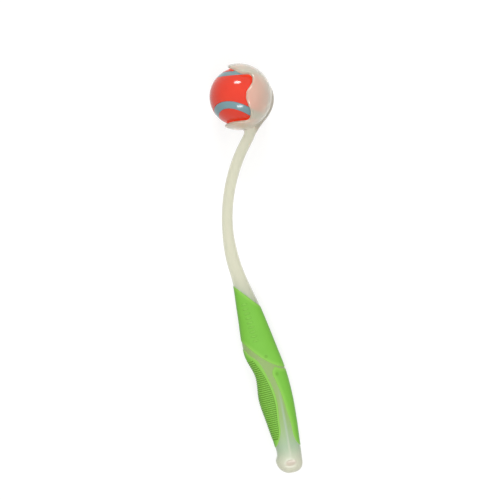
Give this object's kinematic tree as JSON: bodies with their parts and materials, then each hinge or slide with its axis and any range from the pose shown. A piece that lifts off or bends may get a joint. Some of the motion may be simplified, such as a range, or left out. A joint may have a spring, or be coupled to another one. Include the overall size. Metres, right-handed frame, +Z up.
{
  "type": "dog ball launcher stick",
  "caption": "Curved throwing stick with a cup that grips a rubber ball at one end and a soft-gripped handle at the other, for throwing and picking up the ball.",
  "frame": {"origin": "middle of the part's box on the surface that the stick lies on", "axes": "+Y along the stick from the butt towards the cup, +X towards the palm side of the handle, away from the cup's mouth, +Z up, across the throwing plane"},
  "size_m": [0.1031, 0.4526, 0.0717],
  "materials": {
    "body_plastic": "milky translucent moulded polypropylene, satin",
    "grip_rubber": "matte soft-touch thermoplastic rubber",
    "ball_cover_rubber": "semi-gloss moulded rubber",
    "ball_band_rubber": "satin moulded rubber",
    "ball_inner_rubber": "raw rubber"
  },
  "bodies": {
    "launcher": {"launcher_arm": "body_plastic", "upper_grip_sleeve": "grip_rubber", "finger_grip": "grip_rubber", "palm_grip": "grip_rubber"},
    "ball": {"ball_inner_half_upper": "ball_inner_rubber", "ball_inner_half_lower": "ball_inner_rubber", "ball_cover_upper": "ball_cover_rubber", "ball_cover_lower": "ball_cover_rubber", "ball_seam_band": "ball_band_rubber"}
  },
  "joints": [
    {"name": "ball_release", "type": "slide", "parent": "launcher", "child": "ball", "axis": [-0.9986, 0.0522, 0.0032], "range_m": [0, 0.08]}
  ]
}
